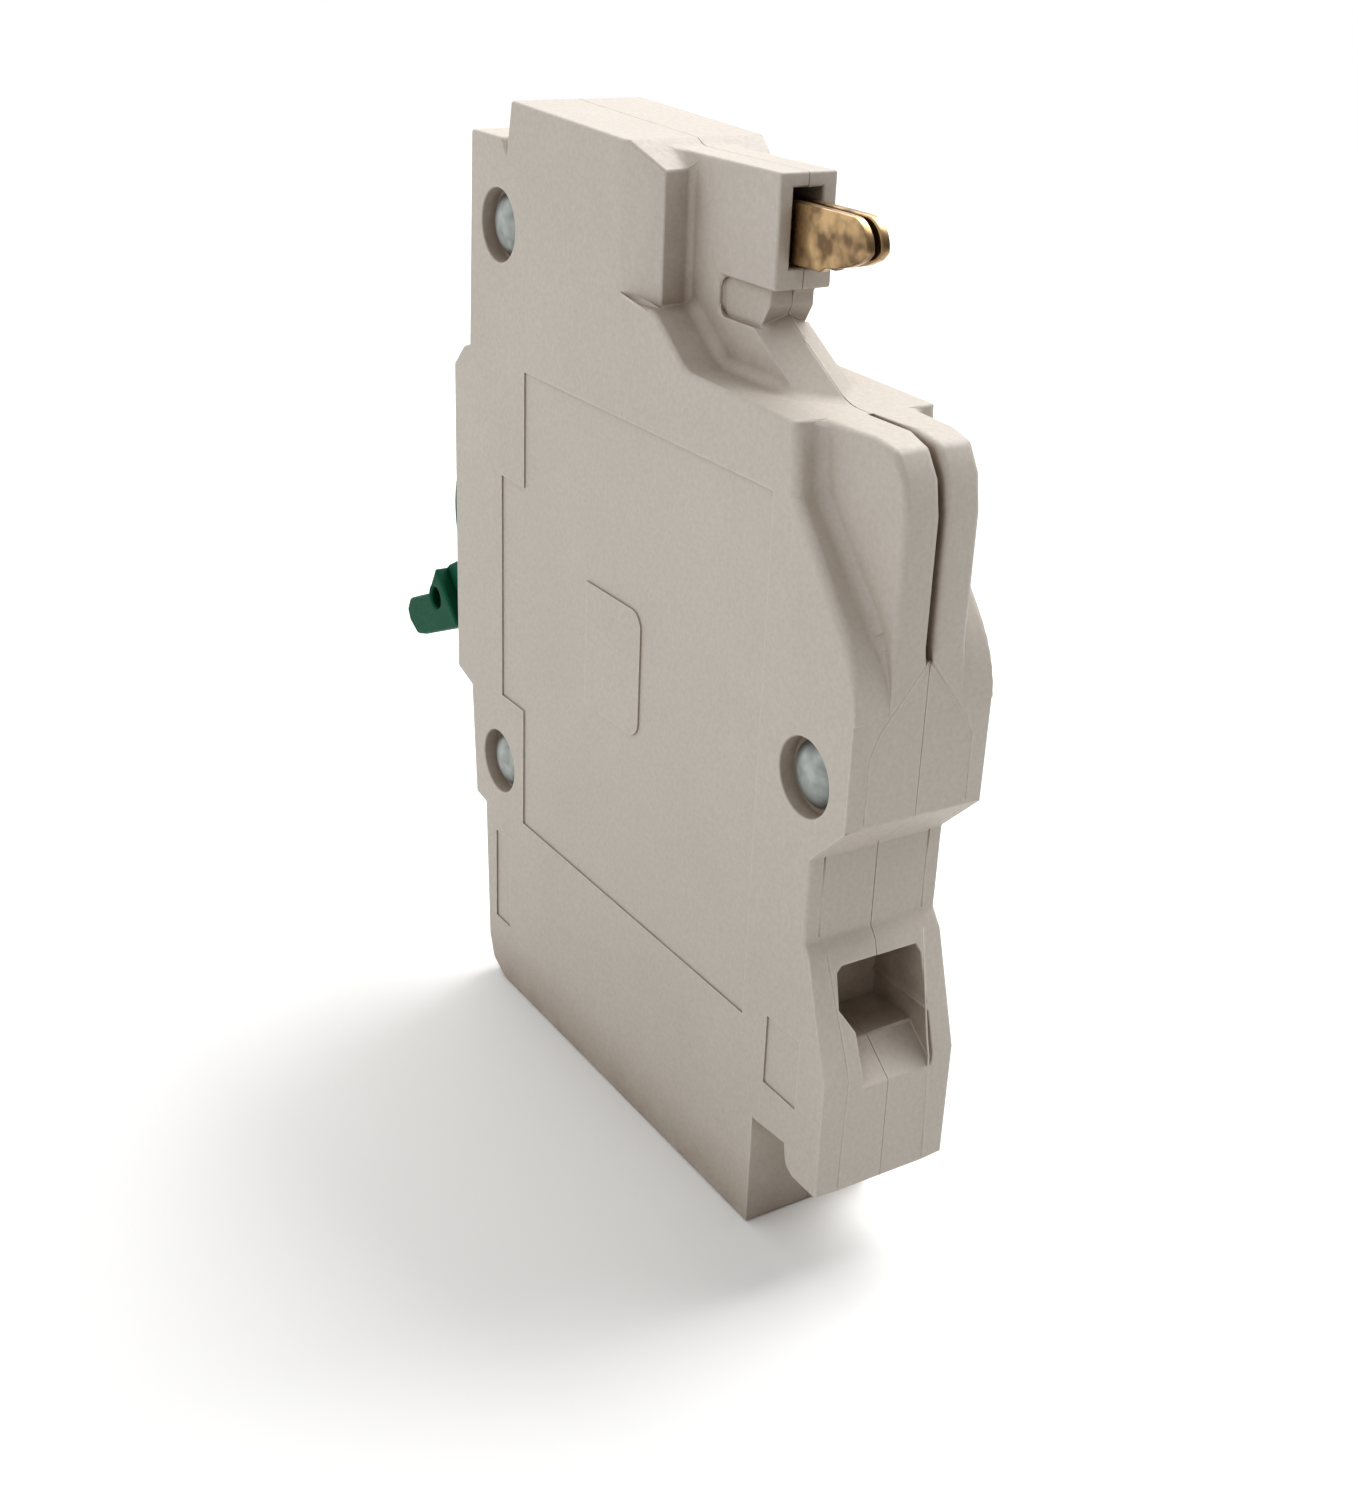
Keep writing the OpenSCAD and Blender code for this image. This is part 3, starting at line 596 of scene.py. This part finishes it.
def case_radius(tree):
    """Gives the function that says how far each fold of the case is rounded."""
    def radius_at(ends, facing, fold):
        middle = (ends[0] + ends[1]) / 2
        if sees_out(tree, middle, facing) < 0.2:
            return 0
        depth = [abs(end.y) for end in ends]
        x, z = middle.x, middle.z
        at_broad = min(depth) > HALF_T - 0.02
        on_panel = min(depth) > HALF_T - PANEL_DEPTH - 0.02
        if x > BACK_X - 2 and all(abs(end.z - ARC_Z) < 0.4 for end in ends):
            return 0
        if max(depth) < 0.02:
            return SEAM_ROUND
        for rivet_x, rivet_z in RIVETS:
            if math.hypot(x - rivet_x, z - rivet_z) < COUNTERBORE_R:
                return COUNTERBORE_ROUND
        if at_broad and fold > 0 and BACK_X - 9.6 < x and ARC_Z < z < SHOULDER_Z + 0.2:
            step = round(math.asin(min((z - ARC_Z) / ARC_R, 1)) / ARC_STEP)
            return min(ARC_FIRST_ROUND + ARC_ROUND_STEP * step, ARC_LAST_ROUND)
        if at_broad and fold > 0 and NECK_X < x < BACK_X - 9 and z > SHOULDER_Z - 1:
            return SHOULDER_ROUND
        if on_panel and min(depth) < HALF_T - 0.5 * PANEL_DEPTH:
            return 0
        if at_broad and inside_outline(x, z):
            return 0
        if ARC_Z - 0.5 < z < SHOULDER_Z + 0.5 and x > FIN_X and max(depth) < 4.5:
            room = 0.45 * fin_gap(min(end.z for end in ends))
            return min(FIN_ROUND if fold > 0 else FIN_FILLET, room)
        if z > SHOULDER_Z - 1 and x > NECK_X:
            return NECK_ROUND if fold > 0 else NECK_FILLET
        if 17 < z < 28 and x > BACK_X - 9:
            return WINDOW_ROUND
        return OUTER_ROUND if fold > 0 else INNER_ROUND
    return radius_at


def bead(points, radius):
    """A thin raised line of moulding along the given points, in millimetres."""
    curve = bpy.data.curves.new("bead", "CURVE")
    curve.dimensions = "3D"
    curve.bevel_depth = radius * MM
    curve.bevel_resolution = 2
    curve.use_fill_caps = True
    line = curve.splines.new("POLY")
    line.points.add(len(points) - 1)
    for point, place in zip(line.points, points):
        point.co = (*(Vector(place) * MM), 1)
    piece = bpy.data.objects.new("bead", curve)
    bpy.context.scene.collection.objects.link(piece)
    only(piece)
    bpy.ops.object.convert(target="MESH")
    bpy.ops.object.mode_set(mode="EDIT")
    bpy.ops.mesh.select_all(action="SELECT")
    bpy.ops.mesh.remove_doubles(threshold=0.001 * MM)
    bpy.ops.mesh.normals_make_consistent(inside=False)
    bpy.ops.object.mode_set(mode="OBJECT")
    return bpy.context.object


def witness_lines(side):
    """Fine raised lines beside the back faces, on the half at this side (-1 left, 1 right)."""
    sunk = 0.03
    block_line = [(BACK_X - sunk, 0.15, FIN_SPLIT_Z), (BACK_X - sunk, 3.9, 48.0),
                  (BACK_X - sunk, 4.65, 46.2), (BACK_X - sunk, 4.7, BLOCK_LOW_Z + 0.3)]
    leg_line = [(BACK_X - 3.2, 4.6, LEG_TOP_Z - 0.2), (BACK_X - 0.55, 3.9, 20.1),
                (BACK_X - 0.1 - sunk, 3.9, 18.6), (BACK_X - sunk, 4.2, 8.9)]
    recess_line = [(BACK_X - 3.9 - sunk, 4.9, 29.9), (BACK_X - 3.9 - sunk, 4.9, 36.9)]
    beads = []
    for line in (block_line, leg_line, recess_line):
        beads.append(bead([(x, side * y, z) for x, y, z in line], 0.085))
    return beads


def cut_levels(piece, levels):
    """Divides the piece's faces at each level of Z, so that a rounding can change along an edge."""
    only(piece)
    bpy.ops.object.mode_set(mode="EDIT")
    for level in levels:
        bpy.ops.mesh.select_all(action="SELECT")
        bpy.ops.mesh.bisect(plane_co=(0, 0, level * MM), plane_no=(0, 0, 1))
    bpy.ops.object.mode_set(mode="OBJECT")


def make_case_half(node_name, side, tree):
    """One moulded case half: rounded edges, clean broad faces and its raised lines."""
    half = flat_copy(node_name, node_name + "_moulding")
    cut_levels(half, [ARC_Z + ARC_R * math.sin((step + 0.5) * ARC_STEP) for step in range(6)])
    round_edges(half, case_radius(tree))
    refill_level(half, side * HALF_T)
    refill_level(half, side * (HALF_T - PANEL_DEPTH))
    smooth_by_area(half)
    beads = witness_lines(side)
    only(half)
    for line in beads:
        line.select_set(True)
    bpy.ops.object.join()
    give(half, "case", "case_plastic", node_name)


# ---------- rivets ----------

def face_ends(piece, up):
    """Selects, in edit mode, the end face of the piece that looks towards +Y or -Y."""
    bpy.ops.mesh.select_all(action="DESELECT")
    skin = bmesh.from_edit_mesh(piece.data)
    best = max(skin.faces, key=lambda face: face.calc_center_median().y * up + face.normal.y * up)
    best.select_set(True)
    skin.faces.active = best
    bmesh.update_edit_mesh(piece.data)


def make_rivet():
    """A shank along Y through the origin, with a domed head at each end."""
    head_y = HALF_T - COUNTERBORE_DEPTH
    bpy.ops.object.select_all(action="DESELECT")
    bpy.ops.mesh.primitive_cylinder_add(
        vertices=64, radius=RIVET_SHANK_R * MM, depth=2 * head_y * MM, rotation=(math.pi / 2, 0, 0))
    rivet = bpy.context.object
    bpy.ops.object.transform_apply(location=True, rotation=True, scale=True)
    bpy.ops.object.mode_set(mode="EDIT")
    bpy.ops.mesh.select_mode(type="FACE")
    for up in (1, -1):
        face_ends(rivet, up)
        radius = RIVET_SHANK_R
        level = 0.0
        for ring_r, ring_y in RIVET_DOME:
            bpy.ops.mesh.extrude_region_move()
            share = ring_r / radius
            bpy.ops.transform.resize(value=(share, 1, share), center_override=(0, up * head_y * MM, 0))
            bpy.ops.transform.translate(value=(0, up * (ring_y - level) * MM, 0))
            radius = ring_r
            level = ring_y
    bpy.ops.mesh.select_all(action="SELECT")
    bpy.ops.mesh.normals_make_consistent(inside=False)
    bpy.ops.object.mode_set(mode="OBJECT")
    only(rivet)
    bpy.ops.object.shade_smooth_by_angle(angle=math.radians(40))
    return rivet


def make_rivets():
    """The three rivets, one modelled and two copied from it, as one piece."""
    first = make_rivet()
    rivets = [first]
    while len(rivets) < len(RIVETS):
        rivet = first.copy()
        rivet.data = first.data.copy()
        bpy.context.scene.collection.objects.link(rivet)
        rivets.append(rivet)
    for rivet, (x, z) in zip(rivets, RIVETS):
        only(rivet)
        rivet.location = (x * MM, 0, z * MM)
        bpy.ops.object.transform_apply(location=True, rotation=True, scale=True)
    only(first)
    for rivet in rivets:
        rivet.select_set(True)
    bpy.ops.object.join()
    first.name = "rivets"
    give(first, "case", "rivet_zinc", "case_rivets")


# ---------- handle ----------

def lever_place(along, up, y=0.0):
    """A point given from the hub's centre along and across the lever, in millimetres."""
    turn = Matrix.Rotation(math.pi - LEVER_DROP, 3, "Y")
    return HUB + turn @ Vector((along, y, up))


def cut(piece, cutter):
    """Takes the cutter's shape out of the piece and removes the cutter."""
    difference = piece.modifiers.new("cut", "BOOLEAN")
    difference.operation = "DIFFERENCE"
    difference.object = cutter
    difference.solver = "EXACT"
    apply_modifier(piece, difference)
    bpy.data.objects.remove(cutter)


def add_box(name, centre, size, turn):
    """A turned box, with its centre and size in millimetres."""
    bpy.ops.object.select_all(action="DESELECT")
    bpy.ops.mesh.primitive_cube_add(size=1)
    box = bpy.context.object
    box.name = name
    place = Matrix.Translation(Vector(centre) * MM)
    box.matrix_world = place @ turn @ Matrix.Diagonal((*(Vector(size) * MM), 1))
    bpy.ops.object.transform_apply(location=True, rotation=True, scale=True)
    return box


def make_handle():
    """The toggle, with the lever's sides sunk between the hub and the tip block."""
    handle = flat_copy("handle", "toggle_moulding")
    for side in (-1, 1):
        middle = lever_place(13.0, 0.9, side * HANDLE_Y)
        slant = Matrix.Rotation(math.pi - LEVER_DROP - math.radians(101.5), 4, "Y")
        pocket = add_box("pocket", middle, (18, 2 * LEVER_SINK, 6), slant)
        bpy.ops.object.select_all(action="DESELECT")
        bpy.ops.mesh.primitive_cylinder_add(
            vertices=96, radius=(HUB_R - 0.1) * MM, depth=10 * MM, location=HUB * MM,
            rotation=(math.pi / 2, 0, 0))
        hub = bpy.context.object
        cut(pocket, hub)
        cut(handle, pocket)

    def radius_at(ends, facing, fold):
        middle = (ends[0] + ends[1]) / 2
        if abs(middle.y) < HANDLE_Y - LEVER_SINK and fold < 0:
            return 0
        if (middle - HUB).length < 3:
            return 0.1
        return 0.35 if fold > 0 else 0.3
    round_edges(handle, radius_at, segments=4)
    for side in (-1, 1):
        refill_level(handle, side * HANDLE_Y)
    smooth_by_area(handle)
    give(handle, "toggle", "toggle_green", "handle")


# ---------- metal pieces ----------

def make_softened(node_name, name, body, slot, radius, segments=2):
    """A CAD piece with its folds broken by a small radius."""
    piece = flat_copy(node_name, name)
    round_edges(piece, lambda ends, facing, fold: radius if fold > 0 else 0, segments)
    smooth_by_area(piece)
    give(piece, body, slot, node_name)


def finish_plain_nodes():
    """Gives every CAD node that still shows the finish of its record slot."""
    slots = {part["node"]: part["material_slot"] for part in frame["record"]["subparts"]}
    for name, node in nodes.items():
        node.data.materials.clear()
        node.data.materials.append(FINISHES[slots[name]])


add_camera()
add_floor()
add_studio()
finish_plain_nodes()

rays = case_tree()
make_case_half("case_left", -1, rays)
make_case_half("case_right", 1, rays)
make_rivets()
make_handle()
make_softened("line_stab", "stab_leaves", "case", "stab_brass", 0.16, 3)
make_softened("terminal_screw", "clamp_screw", "screw", "rivet_zinc", 0.2)
make_softened("clamp_plate", "pressure_plate", "clamp", "rivet_zinc", 0.15)
